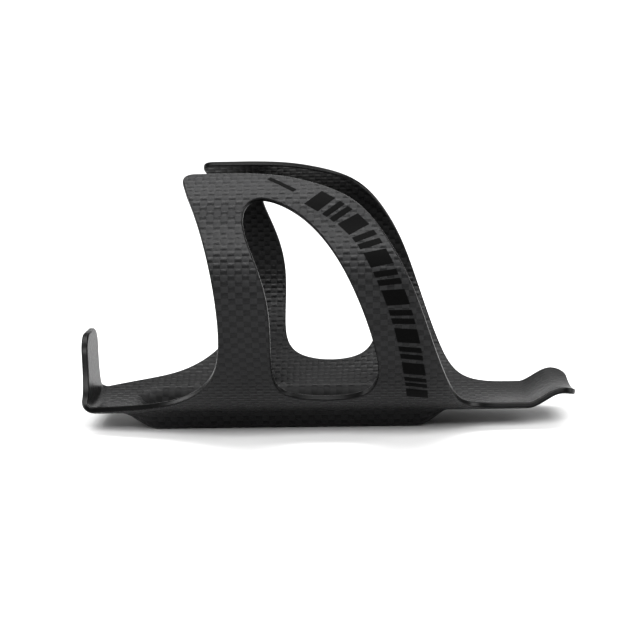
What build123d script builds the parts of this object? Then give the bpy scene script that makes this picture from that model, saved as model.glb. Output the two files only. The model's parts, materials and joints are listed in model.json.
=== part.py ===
from build123d import *
from math import cos, radians, sin, sqrt
import os

os.makedirs("parts", exist_ok=True)

# Bottle cage moulded from one carbon laminate.
#
# Frame: the origin is the middle of the mounting base, between the two bolt slots. +X runs
# along the bottle from its foot to its mouth, +Z points from the bicycle frame into the
# bottle, and the cage is mirrored across Y = 0.
#
# The cradle wall follows the bottle, so most places are given as a station along X and an
# angle round the bottle axis: 0 degrees is the lowest line of the trough, 90 degrees is
# level with the bottle axis. The solids meet face to face along the lines where the
# laminate bends in use: each arm springs outward about its root, and the tongue springs
# down about its own.

# ---------------------------------------------------------------- driving dimensions, mm
BOTTLE_DIAMETER = 74.0
WALL = 1.6                    # laminate thickness
RIB_DEPTH = 3.7               # how far the mounting rib stands below the trough

BOLT_SPACING = 64.0
SLOT_WIDTH = 5.4              # clears an M5 bolt
SLOT_LENGTH = 8.0
BOLT_LAND = 5.0               # flat base beyond each bolt centre

RIB_BASE_WIDTH = 16.7
RIB_RAMP = 8.0                # run of each end ramp over the rib's depth
RIB_CORNER_RADIUS = 5.0       # plan corners of the flat base
RIB_FOOT_FILLET = 3.0         # where the base turns up into its side walls
RECESS_FILLET = 1.5           # the same corner inside the recess

SEAM_ANGLE = 20.0             # crease between the spine and each arm
ARM_TOP_ANGLE = 141.0         # free top edge of each arm
ARM_CORNER_RADIUS = 2.6
ARM_TOP_LENGTH = 24.5         # straight top edge, measured back from X = 0

CHANNEL_MARGIN = 0.5          # trough left at each end of the channel, past the rib's ramps
NECK_LENGTH = 5.5
TONGUE_LENGTH = 24.0
TONGUE_CORNER_RADIUS = 3.0
LIP_START = 10.0              # from the tongue's root to where the lip begins to rise
LIP_MIDDLE = 15.85            # from the tongue's root to where the lip is half up
LIP_CREST = 20.5              # from the tongue's root to the top of the lip
LIP_RISE = 4.0
LIP_DROP = 0.3                # how far the lip's end falls back below its crest
LIP_END_SLOPE = -0.1

FOOT_REACH = 4.7              # from the channel's end to the outside of the foot tab
TAB_THICKNESS = 1.8
TAB_WIDTH = 15.4
TAB_ROOT_WIDTH = 17.4
TAB_HEIGHT = 26.5             # top of the tab above the base
TAB_CORNER_RADIUS = 4.6
TAB_BEND_RADIUS = 3.6         # outside radius where the trough turns up into the tab
TAB_FLARE_RISE = 1.2          # trough rim carried in to the tab, measured across the wall
TAB_FLARE_SHARE = 0.68        # share of that rim taken by the round into the tab

FILM_THICKNESS = 0.1          # printed graphic on each arm
GRAPHIC_BARS = 13
BAR_LENGTH = 5.5              # across the arm's band
BAR_WIDTH = 3.4               # along it
BAR_SLANT = 0.8               # how far each end of a bar leans away from its middle

# ---------------------------------------------------------------- values worked out
INNER_RADIUS = BOTTLE_DIAMETER / 2
OUTER_RADIUS = INNER_RADIUS + WALL
AXIS_Z = RIB_DEPTH + OUTER_RADIUS
BOTTLE_AXIS = Axis((0, 0, AXIS_Z), (1, 0, 0))

SEAM_Z = AXIS_Z - OUTER_RADIUS * cos(radians(SEAM_ANGLE))

BASE_HALF = BOLT_SPACING / 2 + BOLT_LAND
CHANNEL_END = BASE_HALF + SEAM_Z * RIB_RAMP / RIB_DEPTH + CHANNEL_MARGIN
FOOT_X = -(CHANNEL_END + FOOT_REACH)
TONGUE_ROOT_X = CHANNEL_END + NECK_LENGTH
TONGUE_END_X = TONGUE_ROOT_X + TONGUE_LENGTH
CUT_MARGIN = 3.0              # how far a cut reaches past the surface it goes through


def wall_y(angle, radius=OUTER_RADIUS):
    """Distance from the middle plane of a point on the cradle wall."""
    return radius * sin(radians(angle))


def wall_z(angle, radius=OUTER_RADIUS):
    """Height of a point on the cradle wall."""
    return AXIS_Z - radius * cos(radians(angle))


def wall_plane(angle):
    """Plane through the bottle axis: its x runs along the bottle, its y points outward."""
    turn = radians(angle)
    return Plane(origin=(0, 0, AXIS_Z), x_dir=(1, 0, 0), z_dir=(0, cos(turn), sin(turn)))


def wall_band(start_x, end_x, start_angle, end_angle, inner=INNER_RADIUS, outer=OUTER_RADIUS):
    """Stretch of the round cradle wall between two stations and two angles."""
    with BuildPart() as band:
        with BuildSketch(wall_plane(start_angle)):
            with Locations(((start_x + end_x) / 2, (inner + outer) / 2)):
                Rectangle(end_x - start_x, outer - inner)
        revolve(axis=BOTTLE_AXIS, revolution_arc=end_angle - start_angle)
    return band.part


# ---------------------------------------------------------------- mounting channel
# The trough's floor, with a rib pressed down out of it. The rib's underside is the flat
# mounting base, and inside it is the recess that takes the bolt heads.
RIB_SEAM_GAP = 0.1            # trough left between the rib's side wall and the seam
SIDE_SLOPE = (wall_y(SEAM_ANGLE) - RIB_SEAM_GAP - RIB_BASE_WIDTH / 2) / SEAM_Z
END_SLOPE = RIB_RAMP / RIB_DEPTH


def rib_size(height, wall):
    """Half length and half width of the rib at a height, drawn in by a wall's thickness."""
    half_length = BASE_HALF + height * END_SLOPE - wall * sqrt(1 + END_SLOPE ** 2)
    half_width = RIB_BASE_WIDTH / 2 + height * SIDE_SLOPE - wall * sqrt(1 + SIDE_SLOPE ** 2)
    return half_length, half_width


def rib_body(wall, top_z, foot_fillet):
    """Pressed rib as a solid tub; a wall thickness gives the hollow inside it."""
    with BuildPart() as tub:
        for height in (wall, top_z):
            half_length, half_width = rib_size(height, wall)
            drawn_out = half_width - RIB_BASE_WIDTH / 2
            with BuildSketch(Plane.XY.offset(height)):
                RectangleRounded(2 * half_length, 2 * half_width, RIB_CORNER_RADIUS + drawn_out)
        loft(ruled=True)
        fillet(tub.edges().group_by(Axis.Z)[0], foot_fillet)
    return tub.part


trough_floor = wall_band(-CHANNEL_END, CHANNEL_END, -SEAM_ANGLE, SEAM_ANGLE)
rib_outside = rib_body(0, SEAM_Z, RIB_FOOT_FILLET)
rib_hollow = rib_body(WALL, SEAM_Z + CUT_MARGIN, RECESS_FILLET)

with BuildPart() as mounting_channel:
    add(trough_floor)
    add(rib_outside)
    with BuildSketch(Plane.YZ.offset(-CHANNEL_END)):
        with Locations((0, AXIS_Z)):
            Circle(INNER_RADIUS)
    extrude(amount=2 * CHANNEL_END, mode=Mode.SUBTRACT)
    add(rib_hollow, mode=Mode.SUBTRACT)
    with BuildSketch():
        with GridLocations(BOLT_SPACING, 0, 2, 1):
            SlotOverall(SLOT_LENGTH, SLOT_WIDTH)
    extrude(amount=WALL, mode=Mode.SUBTRACT)

# ---------------------------------------------------------------- foot stop
# The trough runs on and turns up, like the closed end of a cup, into the tab under the
# bottle. The tab is what is left of that end after its sides are cut away.
TAB_INSIDE_X = FOOT_X + TAB_THICKNESS
TAB_FLARE_Y = wall_y(SEAM_ANGLE, INNER_RADIUS - TAB_FLARE_RISE)
TAB_FLARE_Z = wall_z(SEAM_ANGLE, INNER_RADIUS - TAB_FLARE_RISE)
TAB_FLARE_RADIUS = TAB_FLARE_SHARE * (TAB_FLARE_Y - TAB_ROOT_WIDTH / 2)
END_DISC_RADIUS = 8.0         # the closed end is drawn in this far, well above the tab's top
END_DISC_ANGLE = 60.0         # and this far round each way, wider than the tab
BELOW_TROUGH = OUTER_RADIUS + 2 * CUT_MARGIN

with BuildPart() as foot_stop:
    with BuildSketch(wall_plane(-END_DISC_ANGLE)) as profile:
        with BuildLine():
            Polyline(
                (-CHANNEL_END, INNER_RADIUS), (-CHANNEL_END, OUTER_RADIUS),
                (FOOT_X, OUTER_RADIUS), (FOOT_X, END_DISC_RADIUS),
                (TAB_INSIDE_X, END_DISC_RADIUS), (TAB_INSIDE_X, INNER_RADIUS), close=True,
            )
        make_face()
        fillet(profile.vertices().group_by(Axis.X)[0].sort_by(Axis.Y)[-1], TAB_BEND_RADIUS)
        inside_corner = profile.vertices().sort_by_distance((TAB_INSIDE_X, INNER_RADIUS))[0]
        fillet(inside_corner, TAB_BEND_RADIUS - TAB_THICKNESS)
    revolve(axis=BOTTLE_AXIS, revolution_arc=2 * END_DISC_ANGLE)
    with BuildSketch(Plane.YZ.offset(FOOT_X)) as front_view:
        with BuildLine():
            Polyline(
                (0, TAB_HEIGHT), (TAB_WIDTH / 2, TAB_HEIGHT), (TAB_WIDTH / 2, 2 * TAB_FLARE_Z),
                (TAB_ROOT_WIDTH / 2, TAB_FLARE_Z),
                (TAB_FLARE_Y, TAB_FLARE_Z),
                (wall_y(SEAM_ANGLE, BELOW_TROUGH), wall_z(SEAM_ANGLE, BELOW_TROUGH)),
                (0, wall_z(SEAM_ANGLE, BELOW_TROUGH)),
            )
            mirror(about=Plane.YZ)
        make_face()
        for side in (-1, 1):
            shoulder = (side * TAB_WIDTH / 2, TAB_HEIGHT)
            root = (side * TAB_ROOT_WIDTH / 2, TAB_FLARE_Z)
            fillet(front_view.vertices().sort_by_distance(shoulder)[0], TAB_CORNER_RADIUS)
            fillet(front_view.vertices().sort_by_distance(root)[0], TAB_FLARE_RADIUS)
    extrude(amount=FOOT_REACH, mode=Mode.INTERSECT)

# ---------------------------------------------------------------- neck
# Plain stretch of trough between the mounting channel and the tongue's root.
with BuildPart() as neck:
    add(wall_band(CHANNEL_END, TONGUE_ROOT_X, -SEAM_ANGLE, SEAM_ANGLE))

# ---------------------------------------------------------------- retaining tongue
# The trough's section swept along a path that rises into the lip behind the bottle's groove.
LIP_START_X = TONGUE_ROOT_X + LIP_START
LIP_CREST_X = TONGUE_ROOT_X + LIP_CREST
LIP_MIDDLE_X = TONGUE_ROOT_X + LIP_MIDDLE
TRIM = 1.0                    # swept past the tongue's outline, then cut back to it

with BuildPart() as retaining_tongue:
    with BuildLine(Plane.XZ) as lip_path:
        flat = Line((TONGUE_ROOT_X, RIB_DEPTH), (LIP_START_X, RIB_DEPTH))
        Spline(
            flat @ 1,
            (LIP_MIDDLE_X, RIB_DEPTH + LIP_RISE / 2),
            (LIP_CREST_X, RIB_DEPTH + LIP_RISE),
            (TONGUE_END_X + TRIM, RIB_DEPTH + LIP_RISE - LIP_DROP),
            tangents=(flat % 1, (1, LIP_END_SLOPE)),
        )
    with BuildSketch(Plane.YZ.offset(TONGUE_ROOT_X)):
        with BuildLine():
            under = CenterArc((0, AXIS_Z), OUTER_RADIUS, 270 - SEAM_ANGLE, 2 * SEAM_ANGLE)
            over = CenterArc((0, AXIS_Z), INNER_RADIUS, 270 - SEAM_ANGLE, 2 * SEAM_ANGLE)
            Line(under @ 0, over @ 0)
            Line(under @ 1, over @ 1)
        make_face()
    sweep(path=lip_path.line)
    with BuildSketch() as plan_view:
        with BuildLine():
            half_width = wall_y(SEAM_ANGLE) + TRIM
            Polyline(
                (TONGUE_ROOT_X, -half_width), (TONGUE_END_X, -half_width),
                (TONGUE_END_X, half_width), (TONGUE_ROOT_X, half_width), close=True,
            )
        make_face()
        fillet(plan_view.vertices().group_by(Axis.X)[-1], TONGUE_CORNER_RADIUS + TRIM)
    extrude(amount=AXIS_Z, mode=Mode.INTERSECT)

# ---------------------------------------------------------------- arms
# Each edge is a smooth curve on the wall through (station, angle) points. The foot side
# edge climbs out of the trough to the top corner; the mouth side edge falls from the
# straight top in one long curve to the neck. Both run on past the wall that they cut.
FOOT_SIDE_EDGE = [
    (-54, 18.5), (-44, 24.2), (-31, 31.2), (-21, 44), (-15.6, 58), (-14, 80), (-16.6, 109),
    (-21.2, 131), (-26.5, 147),
]
MOUTH_SIDE_EDGE = [
    (-22, 143.4), (-4, 141.2), (9, 136), (20, 127.3), (28.4, 112.5), (34.8, 94), (40, 71),
    (44.6, 48), (47.6, 34.5), (51.2, 25.5), (56.5, 20.2), (61, 18),
]
WINDOW_EDGE = [
    (-0.7, 52), (3.2, 40.6), (12.6, 36.6), (22, 40.4), (26.1, 52), (25.2, 70), (20.8, 90.5),
    (13.5, 110), (3.6, 124), (-4.6, 127), (-7.5, 119.5), (-4.6, 102.5), (-1.2, 81),
]


def radial_cutter(stations, closed=False):
    """Face that stands square to the wall along an edge given by (station, angle) points."""
    rails = []
    for radius in (INNER_RADIUS - CUT_MARGIN, OUTER_RADIUS + CUT_MARGIN):
        with BuildLine() as rail:
            Spline(*[(x, wall_y(a, radius), wall_z(a, radius)) for x, a in stations],
                   periodic=closed)
        rails.append(rail.edge())
    return Face.make_surface_from_curves(*rails)


with BuildPart() as left_arm:
    add(wall_band(FOOT_X, TONGUE_ROOT_X, SEAM_ANGLE, ARM_TOP_ANGLE))
    for cutter in (
        radial_cutter(FOOT_SIDE_EDGE),
        radial_cutter(MOUTH_SIDE_EDGE),
        radial_cutter(WINDOW_EDGE, closed=True),
    ):
        split(bisect_by=cutter, keep=Keep.ALL)
        add(left_arm.solids().sort_by(SortBy.VOLUME)[-1], mode=Mode.REPLACE)
    top_corner = left_arm.edges().sort_by_distance(
        (-ARM_TOP_LENGTH, wall_y(ARM_TOP_ANGLE), wall_z(ARM_TOP_ANGLE))
    ).filter_by(lambda edge: abs(edge.length - WALL) < WALL / 4)[0]
    fillet(top_corner, ARM_CORNER_RADIUS)

with BuildPart() as right_arm:
    mirror(left_arm.part, about=Plane.XZ)

# ---------------------------------------------------------------- arm graphics
# Thin printed film: a row of slanted bars that follows the arm's band.
BAND_CENTRE = [(10, 128), (22, 114), (29.5, 94), (33.6, 74), (36, 50), (36.6, 38)]

with BuildLine(Plane.XZ) as band_line:
    Spline(*[(x, wall_z(angle)) for x, angle in BAND_CENTRE])

with BuildPart() as left_arm_graphic:
    add(wall_band(0, TONGUE_ROOT_X, SEAM_ANGLE, ARM_TOP_ANGLE,
                  OUTER_RADIUS, OUTER_RADIUS + FILM_THICKNESS))
    with BuildSketch(Plane.XZ):
        for bar in range(GRAPHIC_BARS):
            share = (bar + 0.5) / GRAPHIC_BARS
            centre = band_line.line @ share
            heading = band_line.line % share
            turn = Vector(1, 0, 0).get_signed_angle(heading, Vector(0, -1, 0))
            with Locations(Location((centre.X, centre.Z), turn)):
                Polygon(
                    (-BAR_WIDTH / 2 - BAR_SLANT, -BAR_LENGTH / 2),
                    (BAR_WIDTH / 2 - BAR_SLANT, -BAR_LENGTH / 2),
                    (BAR_WIDTH / 2 + BAR_SLANT, BAR_LENGTH / 2),
                    (-BAR_WIDTH / 2 + BAR_SLANT, BAR_LENGTH / 2),
                    align=None,
                )
    extrude(amount=2 * OUTER_RADIUS, both=True, mode=Mode.INTERSECT)

with BuildPart() as right_arm_graphic:
    mirror(left_arm_graphic.part, about=Plane.XZ)

# ---------------------------------------------------------------- export
PIECES = {
    "mounting_channel": mounting_channel,
    "foot_stop": foot_stop,
    "neck": neck,
    "retaining_tongue": retaining_tongue,
    "left_arm": left_arm,
    "right_arm": right_arm,
    "left_arm_graphic": left_arm_graphic,
    "right_arm_graphic": right_arm_graphic,
}
for label, piece in PIECES.items():
    piece.part.label = label
    export_step(piece.part, f"parts/{label}.step")
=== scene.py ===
import json
from math import asin, atan2, cos, pi, radians, sin, sqrt

import bpy
import numpy as np
from mathutils import Matrix, Vector, geometry


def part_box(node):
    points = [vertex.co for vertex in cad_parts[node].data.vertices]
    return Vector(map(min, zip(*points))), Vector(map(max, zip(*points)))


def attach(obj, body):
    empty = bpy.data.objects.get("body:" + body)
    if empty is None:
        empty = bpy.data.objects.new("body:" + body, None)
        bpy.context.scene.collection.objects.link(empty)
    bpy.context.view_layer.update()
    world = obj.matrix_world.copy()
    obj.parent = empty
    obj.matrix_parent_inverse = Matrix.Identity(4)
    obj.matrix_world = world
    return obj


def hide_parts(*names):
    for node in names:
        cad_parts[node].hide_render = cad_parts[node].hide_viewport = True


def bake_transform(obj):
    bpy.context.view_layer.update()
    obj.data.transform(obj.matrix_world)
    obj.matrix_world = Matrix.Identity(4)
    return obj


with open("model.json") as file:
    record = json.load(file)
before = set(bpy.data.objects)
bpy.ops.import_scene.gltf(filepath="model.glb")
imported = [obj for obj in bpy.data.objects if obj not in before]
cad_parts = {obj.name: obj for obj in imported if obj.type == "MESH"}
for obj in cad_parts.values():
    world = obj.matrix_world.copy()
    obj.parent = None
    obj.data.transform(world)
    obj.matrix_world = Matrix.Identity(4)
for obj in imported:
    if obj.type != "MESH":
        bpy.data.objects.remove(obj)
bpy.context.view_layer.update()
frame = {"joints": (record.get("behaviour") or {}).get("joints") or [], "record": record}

MM = 0.001

# ---------------------------------------------------------------- sizes read from the frame
MOUNTS = {mount["name"]: mount for mount in frame["record"]["mounts"]}
JOINTS = {joint["name"]: joint for joint in frame["joints"]}
AXIS_Z = MOUNTS["bottle_seat"]["pos_m"][2]
INNER_R = MOUNTS["bottle_seat"]["dims"]["r_mm"] * MM
TROUGH_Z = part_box("neck")[0].z
OUTER_R = AXIS_Z - TROUGH_Z
WALL = OUTER_R - INNER_R
ROOT_Y, ROOT_Z = JOINTS["left_arm_flex"]["pos_m"][1:]
SEAM = atan2(ROOT_Y, AXIS_Z - ROOT_Z)
CHANNEL_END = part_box("mounting_channel")[1].x
NECK_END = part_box("neck")[1].x
TONGUE_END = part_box("retaining_tongue")[1].x
FOOT_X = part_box("foot_stop")[0].x
TAB_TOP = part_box("foot_stop")[1].z
BOLTS = MOUNTS["frame_bolts"]["dims"]
BOLT_X = BOLTS["spacing_x_mm"] / 2 * MM
SLOT_R = BOLTS["hole_r_mm"] * MM
SLOT_HALF = BOLTS["slot_length_mm"] / 2 * MM - SLOT_R

# ---------------------------------------------------------------- the laminate's own shape
RIM_RADIUS = 0.45 * MM
BEND_R = 3.6 * MM
TAB_WALL = 1.8 * MM
TAB_HALF_WIDTH = 7.7 * MM
TAB_CORNER = 4.6 * MM
TONGUE_CORNER = 4.6 * MM
BASE_HALF_WIDTH = 8.35 * MM
END_SLOPE = (1.42, 1.33)     # run per rise of the rib's end ramps, at the foot and the tongue
BASE_END = (37.1 * MM, 38.9 * MM)    # where each ramp leaves the flat base
SIDE_SLOPE = 0.79            # run of the rib's side walls per rise
RIB_CORNER = 1.7 * MM        # height over which the ramps and sides round into each other
BASE_ROUNDING = 1.5 * MM
RIM_ROUNDING = (1.0 * MM, 0.6 * MM)  # rib into trough, on the foot side and the tongue side
RIB_REACH = radians(40)      # the rib lies within this angle of the trough's middle
LIP_START = NECK_END + 10.9 * MM
LIP_CREST = NECK_END + 20.5 * MM
LIP_RISE = 4.0 * MM
LIP_DROP = 0.3 * MM
ARM_TOP = radians(141)
ARM_TOP_BACK = -24.0 * MM
ARM_TOP_CORNER = 3.7 * MM
CURL_START = radians(88)     # above this the arms close in on the bottle they are to grip
CURL_IN = 2.5 * MM
CURL_ALONG = 0.85            # how far their tops also go round, as a share of CURL_IN

# The foot tab's side: points on its outer face as (y, z) in mm, then points where it runs
# into the trough as (distance from the tab's foot, distance round the trough) in mm.
TAB_SIDE = [(8.2, 13), (9.4, 10)]
TAB_SIDE_TOP_Z = 17 * MM
TAB_FOOT = [(1.4, 11.7), (4.2, 13.2)]

# Edges of an arm as (station in mm, angle round the bottle axis in degrees).
FOOT_SIDE_EDGE = [
    (-44, 24.2), (-31, 31.2), (-21, 44), (-15.6, 58), (-14, 80), (-17.0, 109), (-22.1, 131),
    (-25.2, 141.5),
]
MOUTH_SIDE_EDGE = [
    (-14, 141.1), (-6, 140.7), (1.5, 139.3), (9.5, 135.6), (20, 127.3), (28.4, 112.5),
    (34.8, 94), (40, 71), (44.6, 48), (47.6, 34.5), (50.8, 26.2), (54.6, 22), (59, 20.3),
    (63, 20),
]
WINDOW_EDGE = [
    (-0.7, 52), (3.2, 40.6), (12.6, 36.6), (22, 40.4), (26.1, 52), (25.2, 70), (20.8, 90.5),
    (13.5, 110), (3.6, 124), (-4.3, 127), (-7.1, 119.5), (-4.1, 102.5), (-0.9, 81),
]

# The sheet is laid out flat in (u, w): u runs along the trough's floor and on up the foot
# tab, w runs round the bottle on the outside of the wall.
SEAM_W = OUTER_R * SEAM
BEND_U = FOOT_X + BEND_R
TAB_U = BEND_U - BEND_R * pi / 2
SEAM_START = -49.4 * MM


def smooth_min(a, b, k):
    """The smaller of a and b, rounded where they come within k of each other."""
    share = np.clip(0.5 + 0.5 * (b - a) / k, 0, 1)
    return b + (a - b) * share - k * share * (1 - share)


def rib_height(x, y, wall):
    """Height of the pressed rib's surface, drawn in by a wall's thickness."""
    slope = np.where(x < 0, *END_SLOPE)
    end = (np.abs(x) - np.where(x < 0, *BASE_END) + wall * np.sqrt(1 + slope ** 2)) / slope
    side = (np.abs(y) - BASE_HALF_WIDTH + wall * sqrt(1 + SIDE_SLOPE ** 2)) / SIDE_SLOPE
    both = np.hypot(np.maximum(end - wall + RIB_CORNER, 0), np.maximum(side - wall + RIB_CORNER, 0))
    return wall - smooth_min(RIB_CORNER - both, np.zeros_like(both), BASE_ROUNDING)


def lip_lift(x):
    """Rise of the tongue at a station, and its slope."""
    climb = np.clip((x - LIP_START) / (LIP_CREST - LIP_START), 0, 1)
    past = np.clip((x - LIP_CREST) / (TONGUE_END - LIP_CREST), 0, 1)
    lift = LIP_RISE * climb ** 2 * (3 - 2 * climb) - LIP_DROP * past ** 2
    slope = LIP_RISE * 6 * climb * (1 - climb) / (LIP_CREST - LIP_START)
    return lift, slope - 2 * LIP_DROP * past / (TONGUE_END - LIP_CREST)


def side_of_wall(u, w, inner):
    """Points on the laminate's outer side (inner 0) or its inner side (inner 1)."""
    # Along the cage: straight over the trough, round the bend, then up the foot tab.
    turn = np.clip((BEND_U - u) / BEND_R, 0, pi / 2)
    up_tab = np.maximum(TAB_U - u, 0)
    thickness = WALL + (TAB_WALL - WALL) * turn / (pi / 2)
    bend = BEND_R - thickness * inner
    x = np.maximum(u, BEND_U) - bend * np.sin(turn)
    # Round the bottle, where the arms' tops close in.
    r_outside = OUTER_R - BEND_R * (1 - np.cos(turn)) - up_tab
    r = OUTER_R - BEND_R + bend * np.cos(turn) - up_tab
    angle = w / OUTER_R
    curl = np.maximum((np.abs(angle) - CURL_START) / (ARM_TOP - CURL_START), 0)
    r = r - CURL_IN * curl ** 2
    angle = angle + np.sign(w) * CURL_ALONG * CURL_IN / OUTER_R * curl ** 3
    y = OUTER_R * np.sin(angle) * r / r_outside
    z = AXIS_Z - np.where(turn > 0, np.sqrt(np.maximum(r * r - y * y, 0)), r * np.cos(angle))
    # The rib pressed down out of the trough's floor.
    blend = np.where(x < 0, *RIM_ROUNDING)
    near_rib = (np.abs(angle) < RIB_REACH) & (turn == 0)
    z = np.where(near_rib, smooth_min(rib_height(x, y, WALL * inner), z, blend), z)
    # The tongue's lip.
    lift, slope = lip_lift(x)
    tilt = np.arctan(slope)
    return np.stack([
        x - WALL * inner * np.sin(tilt) * np.cos(angle),
        y,
        z + lift - WALL * inner * (1 - np.cos(tilt)),
    ], -1)


def place(u, w, depth):
    """Points of the laminate: depth 0 is its outer side, depth 1 its inner side."""
    u, w, depth = (np.asarray(a, float) for a in (u, w, depth))
    depth = depth[..., None]
    return side_of_wall(u, w, 0) * (1 - depth) + side_of_wall(u, w, 1) * depth


# ---------------------------------------------------------------- outlines of the flat sheet
def spline(points, step, closed=False):
    """Smooth curve through points (a natural cubic spline), sampled about every step."""
    p = np.array(points, float)
    if closed:
        p = np.vstack([p[-3:], p, p[:4]])
    t = np.concatenate([[0], np.cumsum(np.hypot(*np.diff(p, axis=0).T) ** 0.5)])
    h, n = np.diff(t), len(t)
    system = np.eye(n)
    load = np.zeros((n, 2))
    for i in range(1, n - 1):
        system[i, i - 1:i + 2] = h[i - 1], 2 * (h[i - 1] + h[i]), h[i]
        load[i] = 6 * ((p[i + 1] - p[i]) / h[i] - (p[i] - p[i - 1]) / h[i - 1])
    bend = np.linalg.solve(system, load)
    first, last = (3, n - 4) if closed else (0, n - 1)
    curve = []
    for i in range(first, last):
        count = max(2, int(np.ceil(np.hypot(*(p[i + 1] - p[i])) / step)))
        for s in np.arange(count) / count * h[i]:
            rest = h[i] - s
            curve.append(
                (bend[i] * rest ** 3 + bend[i + 1] * s ** 3) / (6 * h[i])
                + (p[i] / h[i] - bend[i] * h[i] / 6) * rest
                + (p[i + 1] / h[i] - bend[i + 1] * h[i] / 6) * s
            )
    if not closed:
        curve.append(p[last])
    return np.array(curve)


CORNER_PULL = 0.83           # how near a rounded corner's curve is drawn to the sharp corner


def rounded(points, reaches, step):
    """Run of straight lines with its inner corners rounded, sampled about every step. Each
    reach says how far from its corner the rounding starts."""
    p = np.array(points, float)
    run = [p[0]]
    for before, corner, after, reach in zip(p, p[1:], p[2:], reaches):
        back, on = before - corner, after - corner
        start = corner + back * min(reach / np.hypot(*back), 0.5)
        end = corner + on * min(reach / np.hypot(*on), 0.5)
        control = corner * CORNER_PULL + (start + end) / 2 * (1 - CORNER_PULL)
        for s in np.linspace(0, 1, max(3, int(2 * reach / step))):
            run.append(start * (1 - s) ** 2 + control * 2 * s * (1 - s) + end * s ** 2)
    run.append(p[-1])
    filled = [run[0]]
    for a, b in zip(run, run[1:]):
        count = max(1, int(round(np.hypot(*(b - a)) / step)))
        filled += [a + (b - a) * (k + 1) / count for k in range(count)]
    return np.array(filled)


def on_wall(stations):
    """Places in the flat sheet of points on the wall round the bottle."""
    return [(x * MM, OUTER_R * radians(angle)) for x, angle in stations]


def on_tab(y, z):
    """Place in the flat sheet of a point on the foot tab's outer face."""
    r = sqrt(y * y + (AXIS_Z - z) ** 2)
    return TAB_U - (OUTER_R - BEND_R - r), OUTER_R * asin(y / OUTER_R)


STEP = 0.8 * MM              # spacing of the points along an edge
TAB_CORNER_POINTS, SLOT_END_POINTS, RIM_RINGS = 9, 10, 5
TOP_MARGIN = 0.03 * MM       # the mouth side's edge starts this far below the arm's top


def half_outline():
    """Edge of the sheet on +Y, from the middle of the tab's top to the tongue's end."""
    corner_y, corner_z = TAB_HALF_WIDTH - TAB_CORNER, TAB_TOP - TAB_CORNER
    tab_corner = [on_tab(corner_y + TAB_CORNER * sin(a), corner_z + TAB_CORNER * cos(a))
                  for a in np.linspace(0, pi / 2, TAB_CORNER_POINTS)]
    tab_top = rounded([on_tab(0, TAB_TOP), tab_corner[0]], [], STEP)
    climb = spline([
        tab_corner[-1],
        on_tab(TAB_HALF_WIDTH, TAB_SIDE_TOP_Z),
        *[on_tab(y * MM, z * MM) for y, z in TAB_SIDE],
        *[(TAB_U + u * MM, w * MM) for u, w in TAB_FOOT],
        *on_wall(FOOT_SIDE_EDGE),
    ], STEP)
    fall = spline(on_wall(MOUTH_SIDE_EDGE), STEP)
    top_w = OUTER_R * ARM_TOP
    climb = climb[climb[:, 1] < top_w - 2 * ARM_TOP_CORNER]
    fall = fall[fall[:, 1] < top_w - TOP_MARGIN]
    top = rounded([climb[-1], (ARM_TOP_BACK, top_w), fall[0]], [ARM_TOP_CORNER], STEP)
    tongue_corner = [fall[-1], (TONGUE_END, SEAM_W), (TONGUE_END, 0)]
    tongue = rounded(tongue_corner, [TONGUE_CORNER], STEP)
    return np.vstack([tab_top, tab_corner[1:], climb[1:], top[1:], fall[1:], tongue[1:]])


def slot_outline(centre_x):
    """Edge of a bolt slot, two half circles joined by straight sides."""
    arc = np.linspace(-pi / 2, pi / 2, SLOT_END_POINTS)
    right = np.stack([centre_x + SLOT_HALF + SLOT_R * np.cos(arc), SLOT_R * np.sin(arc)], -1)
    return np.vstack([right, [2 * centre_x, 0] - right])


MIRROR = np.array([1, -1])
HALF = half_outline()
WINDOW = spline(on_wall(WINDOW_EDGE), STEP, closed=True)
OUTLINE = np.vstack([HALF, (HALF * MIRROR)[-2:0:-1]])
HOLES = [WINDOW, WINDOW * MIRROR, slot_outline(-BOLT_X), slot_outline(BOLT_X)]


# ---------------------------------------------------------------- sheet mesh
def turn_direction(loop):
    """1 for a loop that runs anticlockwise, -1 for one that runs clockwise."""
    x, y = loop.T
    return 1 if np.sum(x * np.roll(y, -1) - np.roll(x, -1) * y) > 0 else -1


def outward(loop, hole):
    """Unit direction at each point of a loop, pointing out of the sheet."""
    along = np.roll(loop, -1, 0) - np.roll(loop, 1, 0)
    along /= np.hypot(*along.T)[:, None]
    side = turn_direction(loop) * (-1 if hole else 1)
    return np.stack([along[:, 1], -along[:, 0]], -1) * side


def inside(points, loop):
    """Which points lie inside a closed loop."""
    px, py = points.T
    hit = np.zeros(len(points), bool)
    for (x1, y1), (x2, y2) in zip(loop, np.roll(loop, -1, 0)):
        crosses = (y1 > py) != (y2 > py)
        if y1 != y2:
            hit ^= crosses & (px < (x2 - x1) * (py - y1) / (y2 - y1) + x1)
    return hit


def clearance(points, loop):
    """Distance from each point to the nearest point of a loop."""
    nearest = np.full(len(points), np.inf)
    for spot in loop:
        nearest = np.minimum(nearest, np.hypot(*(points - spot).T))
    return nearest


ROW_SHARE = 0.87             # spacing of a triangular grid's rows, as a share of its points'


def grid(u0, u1, w0, w1, spacing):
    """Triangular grid of points over a rectangle of the flat sheet."""
    u, w = np.meshgrid(np.arange(u0, u1, spacing), np.arange(w0, w1, spacing * ROW_SHARE),
                       indexing="ij")
    u = u + spacing / 2 * (np.arange(w.shape[1]) % 2)
    return np.stack([u.ravel(), w.ravel()], -1)


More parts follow.
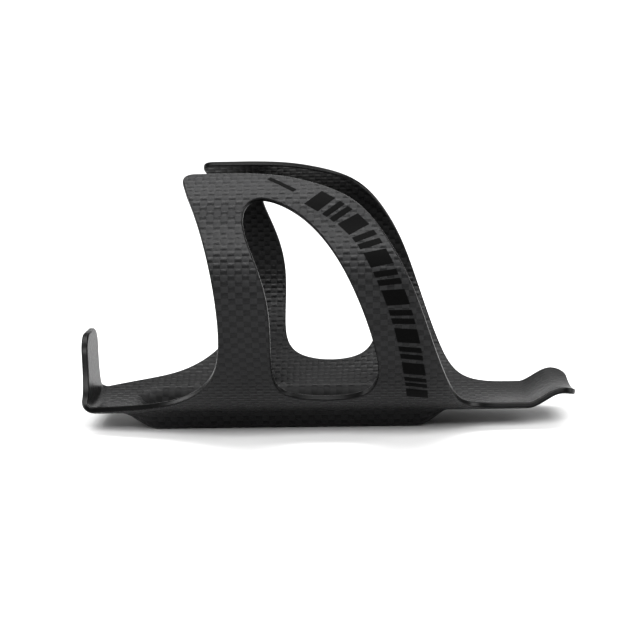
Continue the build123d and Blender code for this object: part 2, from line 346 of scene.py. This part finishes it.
# Spacings of the sheet's points: fine over the rib, coarser where the wall only bends one way.
RIB_GRID, TROUGH_GRID, ROOT_GRID, ARM_GRID = 0.6 * MM, 0.9 * MM, 1.5 * MM, 1.7 * MM
SEAM_GRID = 1.05 * MM
RIB_SPAN = (-49 * MM, 48 * MM)
TAB_LENGTH = 18 * MM
ARM_BACK = -30 * MM
ROOT_BACK = -52 * MM
ROOT_W, ROOT_HALF = 18 * MM, 5 * MM      # strip beside the trough, between tab and arm
OFF_RIM, OFF_SEAM = 0.5 * MM, 0.45 * MM    # room kept free of grid points


def sheet_grid(rims, seams):
    """Points that fill the sheet, clear of its rims and of the seams. Each grid over the
    trough starts and stops a little short of the seams."""
    arm = grid(ARM_BACK, NECK_END, SEAM_W + 1 * MM, OUTER_R * ARM_TOP, ARM_GRID)
    filler = np.vstack([
        grid(TAB_U - TAB_LENGTH, RIB_SPAN[0], -SEAM_W + 0.7 * MM, SEAM_W - 0.4 * MM, TROUGH_GRID),
        grid(*RIB_SPAN, -SEAM_W + 0.5 * MM, SEAM_W - 0.3 * MM, RIB_GRID),
        grid(RIB_SPAN[1], TONGUE_END, -SEAM_W + 0.7 * MM, SEAM_W - 0.4 * MM, TROUGH_GRID),
        arm,
        arm * MIRROR,
        *[grid(ROOT_BACK, ARM_BACK, w - ROOT_HALF, w + ROOT_HALF, ROOT_GRID)
          for w in (-ROOT_W, ROOT_W)],
    ])
    filler = filler[within_sheet(filler, rims)]
    for loop in rims:
        filler = filler[clearance(filler, loop) > OFF_RIM]
    for seam in seams:
        filler = filler[clearance(filler, seam) > OFF_SEAM]
    return filler


def within_sheet(points, rims):
    """Which points lie inside the outline and outside every hole."""
    keep = inside(points, rims[0])
    for hole in rims[1:]:
        keep &= ~inside(points, hole)
    return keep


CDT_SCALE = 1000             # the triangulation works in mm
CDT_TOLERANCE = 1e-5         # mm


def triangulate(rims):
    """Flat triangles of the sheet: points, triangles, and each rim's points by number."""
    seam_u = np.arange(SEAM_START, NECK_END - 1 * MM, SEAM_GRID)
    seams = [np.stack([seam_u, np.full(len(seam_u), w)], -1) for w in (-SEAM_W, SEAM_W)]
    points, edges = [], []
    for number, line in enumerate([*rims, *seams]):
        first, count = len(points), len(line)
        points += [tuple(spot) for spot in line]
        runs = count if number < len(rims) else count - 1
        edges += [(first + i, first + (i + 1) % count) for i in range(runs)]
    points += [tuple(spot) for spot in sheet_grid(rims, seams)]
    flat, _, triangles, origins, _, _ = geometry.delaunay_2d_cdt(
        [Vector((u * CDT_SCALE, w * CDT_SCALE)) for u, w in points], edges, [], 0, CDT_TOLERANCE)
    flat = np.array([tuple(spot) for spot in flat]) / CDT_SCALE
    triangles = np.array([tuple(corners) for corners in triangles])
    triangles = triangles[within_sheet(flat[triangles].mean(1), rims)]
    now = {old: new for new, olds in enumerate(origins) for old in olds}
    starts = np.cumsum([0] + [len(loop) for loop in rims])
    numbers = [[now[first + i] for i in range(len(loop))] for first, loop in zip(starts, rims)]
    return flat, triangles, numbers


# A rim's profile as (shift out of the sheet, depth, turn of its normal), outer side first.
RIM_TURNS = np.linspace(0, pi / 2, RIM_RINGS)
RIM_PROFILE = [(RIM_RADIUS * sin(a), RIM_RADIUS * (1 - cos(a)) / WALL, a) for a in RIM_TURNS]
RIM_PROFILE += [(out, 1 - depth, pi - a) for out, depth, a in reversed(RIM_PROFILE)]


def build_sheet():
    """The whole laminate: vertices in the flat sheet with their depth, how each one's normal
    leans (which way is out of the sheet, and the turn round the rim), the faces, where each
    face belongs in the flat sheet, and the columns of vertices that run round the rims."""
    loops = [OUTLINE, *HOLES]
    directions = [outward(loop, hole > 0) for hole, loop in enumerate(loops)]
    rims = [loop - out * RIM_RADIUS for loop, out in zip(loops, directions)]
    flat, triangles, rim_numbers = triangulate(rims)
    count = len(flat)
    verts = [np.column_stack([flat, np.full(count, depth)]) for depth in (0.0, 1.0)]
    lean = [np.tile([0, 0, turn], (count, 1)) for turn in (0.0, pi)]
    faces = [tuple(t) for t in triangles] + [tuple(t + count) for t in triangles]
    centres = list(flat[triangles].mean(1)) * 2
    columns = []
    total = 2 * count
    for loop, out, outer_ring in zip(rims, directions, rim_numbers):
        size = len(loop)
        rings = [outer_ring]
        for shift, depth, turn in RIM_PROFILE[1:-1]:
            verts.append(np.column_stack([loop + out * shift, np.full(size, depth)]))
            lean.append(np.column_stack([out, np.full(size, turn)]))
            rings.append(list(range(total, total + size)))
            total += size
        rings.append([number + count for number in outer_ring])
        for near, far in zip(rings, rings[1:]):
            for i in range(size):
                j = (i + 1) % size
                faces.append((near[i], near[j], far[j], far[i]))
                centres.append((loop[i] + loop[j]) / 2)
        columns += list(zip(*rings))
    return np.vstack(verts), np.vstack(lean), faces, np.array(centres), columns


def new_object(name, co, faces):
    mesh = bpy.data.meshes.new(name)
    mesh.from_pydata([tuple(p) for p in co], [], [tuple(int(i) for i in f) for f in faces])
    mesh.validate()
    mesh.update()
    mesh.shade_smooth()
    obj = bpy.data.objects.new(name, mesh)
    bpy.context.scene.collection.objects.link(obj)
    return obj


def write_attribute(mesh, name, kind, values):
    """Values that the material reads at each vertex."""
    attribute = mesh.attributes.new(name, kind, "POINT")
    key = "vector" if kind == "FLOAT_VECTOR" else "value"
    attribute.data.foreach_set(key, np.asarray(values, np.float32).ravel())


NORMAL_STEP = 0.05 * MM      # a normal is taken from the surface this far to each side


def side_normals(u, w, inner):
    """Unit normals of one side of the laminate, pointing away from it, and the surface's two
    directions there: along the cage and round the bottle."""
    step = NORMAL_STEP
    along = side_of_wall(u + step, w, inner) - side_of_wall(u - step, w, inner)
    around = side_of_wall(u, w + step, inner) - side_of_wall(u, w - step, inner)
    normal = np.cross(around, along) * (-1 if inner else 1)
    return normal / np.linalg.norm(normal, axis=1)[:, None], along, around


def sheet_normals(points, lean):
    """Normals of the laminate's two sides and of its rounded rims."""
    u, w = points[:, 0], points[:, 1]
    outer, along, around = side_normals(u, w, 0)
    inner_side = side_normals(u, w, 1)[0]
    out = along * lean[:, :1] + around * lean[:, 1:2]
    out /= np.maximum(np.linalg.norm(out, axis=1), np.finfo(float).tiny)[:, None]
    turn = lean[:, 2:]
    face = np.where(turn < pi / 2, outer, inner_side)
    return face * np.abs(np.cos(turn)) + out * np.sin(turn)


SHEET, LEAN, UNTURNED_FACES, FACE_AT, RIM_COLUMNS = build_sheet()
SHEET_CO = place(*SHEET.T)
SHEET_NORMALS = sheet_normals(SHEET, LEAN)
RIM_SHARE = np.sin(LEAN[:, 2])
INNER_SIDE = int(np.argmax(SHEET[:, 2]))     # first vertex of the inner side


def ramp(value, start, length):
    """0 up to the start, 1 from a length beyond it."""
    return np.clip((value - start) / length, 0, 1)


# The weave is hidden under satin paint on the tongue and the tab.
SATIN = ramp(SHEET[:, 0], NECK_END - 2 * MM, 8 * MM)
SATIN += ramp(-SHEET[:, 0], -BEND_U - 3 * MM, 4 * MM)

# Inside the bolt recess the laminate is painted darker, a painted shade for the dark hollow, and
# made rougher: how far a point lies below the trough's floor.
BELOW_TROUGH = AXIS_Z - INNER_R * np.cos(SHEET[:, 1] / OUTER_R) - SHEET_CO[:, 2]
RECESS = SHEET[:, 2] * ramp(BELOW_TROUGH, 0.5 * MM, 1.5 * MM)
RECESS *= np.abs(SHEET[:, 0]) < CHANNEL_END


def faced_out(face):
    """The face, turned so that it looks the way its vertices' normals point."""
    corners = SHEET_CO[list(face)]
    facing = np.cross(corners[1] - corners[0], corners[-1] - corners[0])
    return face if facing @ SHEET_NORMALS[list(face)].sum(0) > 0 else face[::-1]


SHEET_FACES = [faced_out(face) for face in UNTURNED_FACES]


def cut_faces(faces):
    """Faces that close a piece through the laminate's thickness, where it was cut out: one
    for each cut edge between the two sides, and one for each rim column that it cuts."""
    edges = {(a, b) for face in faces for a, b in zip(face, face[1:] + face[:1])}
    open_edges = {(a, b) for a, b in edges if (b, a) not in edges}
    closing = [(b, a, a + INNER_SIDE, b + INNER_SIDE)
               for a, b in sorted(open_edges) if max(a, b) < INNER_SIDE]
    for column in RIM_COLUMNS:
        if (column[1], column[2]) in open_edges:
            closing.append(column[::-1])
        elif (column[2], column[1]) in open_edges:
            closing.append(column)
    return closing


def skin(name, chosen, nodes, material):
    """One piece of the sheet, made of the chosen faces, in place of CAD nodes."""
    faces = [SHEET_FACES[i] for i in np.nonzero(chosen)[0]]
    faces += cut_faces(faces)
    used = sorted({v for face in faces for v in face})
    index = {old: new for new, old in enumerate(used)}
    obj = new_object(name, SHEET_CO[used], [[index[v] for v in face] for face in faces])
    write_attribute(obj.data, "cloth", "FLOAT_VECTOR", SHEET[used])
    write_attribute(obj.data, "rim", "FLOAT", RIM_SHARE[used])
    write_attribute(obj.data, "satin", "FLOAT", SATIN[used])
    write_attribute(obj.data, "recess", "FLOAT", RECESS[used])
    obj.data.normals_split_custom_set_from_vertices([tuple(n) for n in SHEET_NORMALS[used]])
    obj.data.materials.append(material)
    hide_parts(*nodes)
    return obj


# ---------------------------------------------------------------- materials
class Nodes:
    """Small helper that adds a material's nodes and links them."""

    def __init__(self, name):
        self.material = bpy.data.materials.new(name)
        self.material.use_nodes = True
        self.tree = self.material.node_tree
        self.shader = self.tree.nodes["Principled BSDF"]

    def add(self, kind, **settings):
        node = self.tree.nodes.new(kind)
        for key, value in settings.items():
            setattr(node, key, value)
        return node

    def set(self, socket, value):
        if isinstance(value, bpy.types.NodeSocket):
            self.tree.links.new(value, socket)
        else:
            socket.default_value = value

    def math(self, operation, a, b=0.0, c=0.0, clamp=False):
        """A Math node; MULTIPLY_ADD gives a * b + c."""
        node = self.add("ShaderNodeMath", operation=operation, use_clamp=clamp)
        for socket, value in zip(node.inputs, (a, b, c)):
            self.set(socket, value)
        return node.outputs[0]

    def mix(self, share, a, b):
        node = self.add("ShaderNodeMix", data_type="RGBA")
        self.set(node.inputs["Factor"], share)
        self.set(node.inputs["A"], a)
        self.set(node.inputs["B"], b)
        return node.outputs["Result"]

    def attribute(self, name, output):
        return self.add("ShaderNodeAttribute", attribute_name=name).outputs[output]

    def noise(self, vector, scale, detail):
        node = self.add("ShaderNodeTexNoise")
        self.set(node.inputs["Vector"], vector)
        node.inputs["Scale"].default_value = scale
        node.inputs["Detail"].default_value = detail
        return node.outputs["Fac"]

    def combine(self, x, y, z=0.0):
        node = self.add("ShaderNodeCombineXYZ")
        for socket, value in zip(node.inputs, (x, y, z)):
            self.set(socket, value)
        return node.outputs[0]


TOW_ALONG, TOW_ROUND = 1.8 * MM, 1.5 * MM    # size of one cell of the plain weave
FIBRE_LINES, FIBRE_RUN = 14.0, 0.6           # streaks across and along one tow
CROWN_SHARE = 0.55           # how much a tow's own crown adds where it dives under its neighbour
FIBRE_RELIEF = 0.22          # streaks' height, as a share of a tow's
WEAVE_RELIEF = 0.085 * MM
SATIN_COVER = 0.8            # how much of the weave the satin paint hides
MOTTLE_SCALE, GRAIN_SCALE, PRINT_GRAIN_SCALE = 90.0, 2600.0, 1600.0    # per metre
MOTTLE_SHARE, GRAIN_SHARE, CELL_SHARE = 0.4, 0.5, 0.34     # what makes up the cloth's shade
FIBRE_SHARE = 0.5            # of a cell's shade
INNER_PAINTED_SHADE = 0.6            # painted shade: how much darker the laminate's inner side is painted, for the shade inside the cage
RECESS_PAINTED_SHADE = 0.8           # painted shade: how much of the cloth's colour the recess loses, for the shade in the hollow
ROUGHNESS = 0.2
TOP_TOW_DULLING, FIBRE_DULLING, RECESS_DULLING = 0.16, 0.16, 0.4
EDGE_DULLING, EDGE_FOCUS, RIM_GLOSS = 0.15, 8.0, 0.1
CARBON_SPECULAR, PRINT_SPECULAR = 0.13, 0.03
PRINT_ROUGHNESS = (0.4, 0.12)    # least, and the grain's part
RIM_BLACK = (0.001, 0.001, 0.001, 1)
CLOTH_DARK = (0.001, 0.001, 0.001, 1)
CLOTH_LIGHT = (0.016, 0.016, 0.0165, 1)
PRINT_DARK = (0.0015, 0.0015, 0.0015, 1)
PRINT_LIGHT = (0.003, 0.003, 0.003, 1)


def tow_pattern(n, along, around):
    """Height of the plain weave's tows, their fibres, and which tow is on top (0 or 1)."""
    on_top = n.math("FLOORED_MODULO", n.math("ADD", n.math("FLOOR", along),
                                             n.math("FLOOR", around)), 2.0)
    crown_u = n.math("SINE", n.math("MULTIPLY", n.math("FRACT", along), pi))
    crown_w = n.math("SINE", n.math("MULTIPLY", n.math("FRACT", around), pi))
    dip_u = n.math("MULTIPLY_ADD", crown_u, CROWN_SHARE, 1 - CROWN_SHARE)
    dip_w = n.math("MULTIPLY_ADD", crown_w, CROWN_SHARE, 1 - CROWN_SHARE)
    warp = n.math("MULTIPLY", crown_w, dip_u)
    weft = n.math("MULTIPLY", crown_u, dip_w)
    height = n.math("MULTIPLY_ADD", n.math("SUBTRACT", weft, warp), on_top, warp)
    fibre_u = n.noise(n.combine(n.math("MULTIPLY", along, FIBRE_RUN),
                                n.math("MULTIPLY", around, FIBRE_LINES)), 1.0, 2.0)
    fibre_w = n.noise(n.combine(n.math("MULTIPLY", along, FIBRE_LINES),
                                n.math("MULTIPLY", around, FIBRE_RUN)), 1.0, 2.0)
    fibre = n.math("MULTIPLY_ADD", n.math("SUBTRACT", fibre_w, fibre_u), on_top, fibre_u)
    return height, fibre, on_top


def carbon_material():
    """Plain-weave carbon under a matte clear coat; the weave fades out on the cut rims."""
    n = Nodes("carbon_weave")
    cloth = n.attribute("cloth", "Vector")
    axes = n.add("ShaderNodeSeparateXYZ")
    n.set(axes.inputs[0], cloth)
    along = n.math("MULTIPLY", axes.outputs[0], 1 / TOW_ALONG)
    around = n.math("MULTIPLY", axes.outputs[1], 1 / TOW_ROUND)
    tow_height, fibre, on_top = tow_pattern(n, along, around)
    rim = n.attribute("rim", "Fac")
    recess = n.attribute("recess", "Fac")
    unpainted = n.math("MULTIPLY_ADD", n.attribute("satin", "Fac"), -SATIN_COVER, 1.0)
    weave = n.math("SUBTRACT", unpainted, rim, clamp=True)

    mottle = n.noise(cloth, MOTTLE_SCALE, 4.0)
    grain = n.noise(cloth, GRAIN_SCALE, 2.0)
    cell = n.math("MULTIPLY", n.math("MULTIPLY_ADD", fibre, FIBRE_SHARE, on_top), weave)
    speck = n.math("MULTIPLY_ADD", grain, GRAIN_SHARE, n.math("MULTIPLY", cell, CELL_SHARE))
    shade = n.math("MULTIPLY_ADD", mottle, MOTTLE_SHARE, speck, clamp=True)
    # Painted shade: the inner side's colour is darkened, standing in for the shade inside the cage.
    inner_side = n.math("MULTIPLY_ADD", axes.outputs[2], -INNER_PAINTED_SHADE, 1.0)
    colour = n.mix(n.math("MULTIPLY", shade, inner_side), CLOTH_DARK, CLOTH_LIGHT)
    # Painted shade: the recess is painted towards black for the shade in the hollow; the cut rims
    # are black as well.
    rim_black_and_recess_shade = n.math("MAXIMUM", rim, n.math("MULTIPLY", recess, RECESS_PAINTED_SHADE))
    n.set(n.shader.inputs["Base Color"], n.mix(rim_black_and_recess_shade, colour, RIM_BLACK))

    top_tow = n.math("MULTIPLY", on_top, weave)
    dulled = n.math("MULTIPLY_ADD", top_tow, TOP_TOW_DULLING, ROUGHNESS)
    dulled = n.math("MULTIPLY_ADD", fibre, FIBRE_DULLING, dulled)
    dulled = n.math("MULTIPLY_ADD", recess, RECESS_DULLING, dulled)
    sawn_edge = n.math("MULTIPLY", n.math("POWER", rim, EDGE_FOCUS), EDGE_DULLING)
    rim_change = n.math("MULTIPLY_ADD", rim, -RIM_GLOSS, sawn_edge)
    n.set(n.shader.inputs["Roughness"], n.math("ADD", dulled, rim_change))

    relief = n.math("MULTIPLY_ADD", fibre, FIBRE_RELIEF, tow_height)
    bump = n.add("ShaderNodeBump")
    bump.inputs["Strength"].default_value = 1.0
    bump.inputs["Distance"].default_value = WEAVE_RELIEF
    n.set(bump.inputs["Height"], n.math("MULTIPLY", relief, weave))
    n.set(n.shader.inputs["Normal"], bump.outputs[0])
    n.shader.inputs["Specular IOR Level"].default_value = CARBON_SPECULAR
    return n.material


def film_material():
    """Black print with a light gloss."""
    n = Nodes("printed_black")
    grain = n.noise(n.attribute("cloth", "Vector"), PRINT_GRAIN_SCALE, 2.0)
    n.set(n.shader.inputs["Base Color"], n.mix(grain, PRINT_DARK, PRINT_LIGHT))
    least, grain_part = PRINT_ROUGHNESS
    n.set(n.shader.inputs["Roughness"], n.math("MULTIPLY_ADD", grain, grain_part, least))
    n.shader.inputs["Specular IOR Level"].default_value = PRINT_SPECULAR
    return n.material


def studio_material(name, level):
    """Matte pale grey, very slightly uneven."""
    n = Nodes(name)
    spread = n.noise(n.add("ShaderNodeTexCoord").outputs["Object"], 3.0, 2.0)
    pale, less_pale = ((shade, shade, shade, 1) for shade in (level, 0.98 * level))
    n.set(n.shader.inputs["Base Color"], n.mix(spread, pale, less_pale))
    n.shader.inputs["Roughness"].default_value = 0.9
    n.shader.inputs["Specular IOR Level"].default_value = 0.1
    return n.material


CARBON = carbon_material()
FILM = film_material()

# ---------------------------------------------------------------- skins of the trough
PAST_SEAM = np.abs(FACE_AT[:, 1]) > SEAM_W
ON_ARM = PAST_SEAM & (FACE_AT[:, 0] > SEAM_START) & (FACE_AT[:, 0] < NECK_END)
ON_TONGUE = FACE_AT[:, 0] > NECK_END
spine_skin = skin("spine_skin", ~ON_ARM & ~ON_TONGUE,
                  ["mounting_channel", "foot_stop", "neck"], CARBON)
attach(spine_skin, "spine")
tongue_skin = skin("tongue_skin", ON_TONGUE, ["retaining_tongue"], CARBON)
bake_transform(tongue_skin)

# ---------------------------------------------------------------- printed graphic
BAND_CENTRE = [(10, 128), (22, 114), (29.5, 94), (33.6, 74), (36, 50), (36.6, 38)]
BARS = 13
BAR_LENGTH = 5.5 * MM         # across the band
BAR_SLANT = 0.8 * MM
BAR_WIDTH = 0.76              # along the band, as a share of the bars' pitch
SPLIT_WIDTH = 0.28            # each half of a split bar
SPLIT_OFFSET = 0.22           # from the middle of a split bar to the middle of a half
STREAK_AT = (2.5, 134)
STREAK_WIDTH, STREAK_LENGTH = 8 * MM, 1.0 * MM
FILM_DEPTH = -0.04            # stands this share of a wall proud of the arm
LINE_STEP = 0.2 * MM
HEADING_REACH = 0.5 * MM      # the band's heading is taken over this much to each side
BAR_GRID = (7, 9)             # points along and across the band


def bar_shape(centre, heading, width, length):
    """Slanted bar across the band, as a grid of places in the flat sheet."""
    across = np.array([-heading[1], heading[0]])
    s, t = np.meshgrid(*(np.linspace(-1, 1, count) for count in BAR_GRID), indexing="ij")
    slant = t * BAR_SLANT * length / BAR_LENGTH
    forward = heading * (s * width / 2 + slant)[..., None]
    return centre + forward + across * (t * length / 2)[..., None]


def bar_shapes():
    """A thin streak, then bars down the band: whole ones and split ones by turns."""
    line = spline(on_wall(BAND_CENTRE), LINE_STEP)
    run = np.concatenate([[0], np.cumsum(np.hypot(*np.diff(line, axis=0).T))])
    pitch = run[-1] / BARS

    def on_line(distance):
        return np.array([np.interp(distance, run, column) for column in line.T])

    def unit(vector):
        return vector / np.hypot(*vector)

    streak_centre = np.array(on_wall([STREAK_AT])[0])
    shapes = [bar_shape(streak_centre, unit(line[1] - line[0]), STREAK_WIDTH, STREAK_LENGTH)]
    for bar in range(BARS):
        split = bar % 2 == 1
        width = SPLIT_WIDTH if split else BAR_WIDTH
        for offset in (-SPLIT_OFFSET, SPLIT_OFFSET) if split else (0,):
            at = (bar + 0.5 + offset) * pitch
            heading = unit(on_line(at + HEADING_REACH) - on_line(at - HEADING_REACH))
            shapes.append(bar_shape(on_line(at), heading, width * pitch, BAR_LENGTH))
    return shapes


def bar_faces(number, other_side):
    """Faces of one bar as a thin closed plate; other_side is the step from a point of its
    outer side to the one below it."""
    faces = []
    for i, j in np.ndindex(number.shape[0] - 1, number.shape[1] - 1):
        quad = (number[i, j], number[i + 1, j], number[i + 1, j + 1], number[i, j + 1])
        faces += [quad, tuple(v + other_side for v in quad[::-1])]
    edge = [*number[0, :-1], *number[:-1, -1], *number[-1, :0:-1], *number[:0:-1, 0]]
    faces += [(a, b, b + other_side, a + other_side) for a, b in zip(edge, edge[1:] + edge[:1])]
    return faces


def graphic(name, side):
    """Row of plain bars down the arm's band: a generic print, not lettering."""
    co, faces, cloth = [], [], []
    for spots in bar_shapes():
        rows, columns = spots.shape[:2]
        u, w = (spots.reshape(-1, 2) * [1, side]).T
        first = len(co)
        for depth in (FILM_DEPTH, 0.0):
            depths = np.full(len(u), depth)
            co += list(place(u, w, depths))
            cloth += list(np.stack([u, w, depths], -1))
        number = np.arange(rows * columns).reshape(rows, columns) + first
        faces += bar_faces(number, rows * columns)
    if side > 0:
        faces = [face[::-1] for face in faces]
    obj = new_object(name, co, faces)
    cloth = np.array(cloth)
    write_attribute(obj.data, "cloth", "FLOAT_VECTOR", cloth)
    normals = side_normals(cloth[:, 0], cloth[:, 1], 0)[0]
    obj.data.normals_split_custom_set_from_vertices([tuple(normal) for normal in normals])
    obj.data.materials.append(FILM)
    return obj


for side, label in ((1, "left"), (-1, "right")):
    on_side = ON_ARM & (np.sign(FACE_AT[:, 1]) == side)
    arm_skin = skin(f"{label}_arm_skin", on_side, [f"{label}_arm"], CARBON)
    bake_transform(arm_skin)
    film = graphic(f"{label}_arm_print", side)
    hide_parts(f"{label}_arm_graphic")
    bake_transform(film)

# ---------------------------------------------------------------- studio
FLOOR_FRONT, FLOOR_BACK, FLOOR_HALF = -1.4, 0.9, 2.5
SWEEP_R, SWEEP_STEPS = 0.7, 16
WALL_TOP = 2.2
FLOOR_Z = -0.2 * MM
BACKDROP_LEVEL = 0.5
AIM = (0.01, 0, 0.035)
LIGHTS = [                    # name, place, aim, width and height, watts
    ("key_softbox", (0.05, -0.70, 0.665), AIM, (1.2, 0.44), 18.6),
    ("top_softbox", (0.1, 0.40, 0.75), AIM, (0.6, 0.4), 1.2),
    ("backdrop_wash", (0, 0.1, 1.6), (0, 1.6, 0.5), (2.4, 1.0), 75),
    ("left_fill", (-0.9, 0.1, 0.22), AIM, (0.5, 0.3), 4.6),
    ("right_edge_light", (0.85, -0.05, 0.27), AIM, (0.3, 0.5), 4.6),
]
SKY_STRENGTH = 0.12


def backdrop():
    """Pale floor that curves up into a backdrop behind the cage."""
    turns = np.linspace(0, pi / 2, SWEEP_STEPS)
    profile = [(FLOOR_FRONT, FLOOR_Z)]
    profile += [(FLOOR_BACK + SWEEP_R * sin(a), FLOOR_Z + SWEEP_R * (1 - cos(a))) for a in turns]
    profile.append((FLOOR_BACK + SWEEP_R, WALL_TOP))
    co = [(x, y, z) for y, z in profile for x in (-FLOOR_HALF, FLOOR_HALF)]
    faces = [(2 * i, 2 * i + 1, 2 * i + 3, 2 * i + 2) for i in range(len(profile) - 1)]
    obj = new_object("backdrop", co, faces)
    obj.data.materials.append(studio_material("studio_white", BACKDROP_LEVEL))


def area_light(name, place_at, aim, size, power):
    light = bpy.data.lights.new(name, "AREA")
    light.shape = "RECTANGLE"
    light.size, light.size_y = size
    light.energy = power
    obj = bpy.data.objects.new(name, light)
    bpy.context.scene.collection.objects.link(obj)
    obj.location = place_at
    obj.rotation_mode = "QUATERNION"
    obj.rotation_quaternion = (Vector(aim) - Vector(place_at)).to_track_quat("-Z", "Y")


backdrop()
for settings in LIGHTS:
    area_light(*settings)

world = bpy.data.worlds.new("studio")
world.use_nodes = True
sky = world.node_tree.nodes["Background"]
sky.inputs["Color"].default_value = (1, 1, 1, 1)
sky.inputs["Strength"].default_value = SKY_STRENGTH
bpy.context.scene.world = world
bpy.context.scene.view_settings.view_transform = "Standard"
bpy.context.scene.view_settings.look = "Medium High Contrast"

# ---------------------------------------------------------------- camera
AZIMUTH, ELEVATION, ROLL = radians(2.095), radians(10.87), radians(-1.243)
CAMERA_AT = (0.0240, -0.3673, 0.0991)
FOCAL_LENGTH, SENSOR_WIDTH = 75.61, 36       # mm
NEAREST = 0.01

back = Vector((sin(AZIMUTH) * cos(ELEVATION), -cos(AZIMUTH) * cos(ELEVATION), sin(ELEVATION)))
level = (-back).cross(Vector((0, 0, 1))).normalized()
upward = level.cross(-back)
right = level * cos(ROLL) + upward * sin(ROLL)
up = upward * cos(ROLL) - level * sin(ROLL)
camera = bpy.data.objects.new("camera", bpy.data.cameras.new("camera"))
camera.data.lens = FOCAL_LENGTH
camera.data.sensor_width = SENSOR_WIDTH
camera.data.clip_start = NEAREST
bpy.context.scene.collection.objects.link(camera)
turn = Matrix((right, up, back)).transposed()
camera.matrix_world = Matrix.LocRotScale(Vector(CAMERA_AT), turn, None)
bpy.context.scene.camera = camera
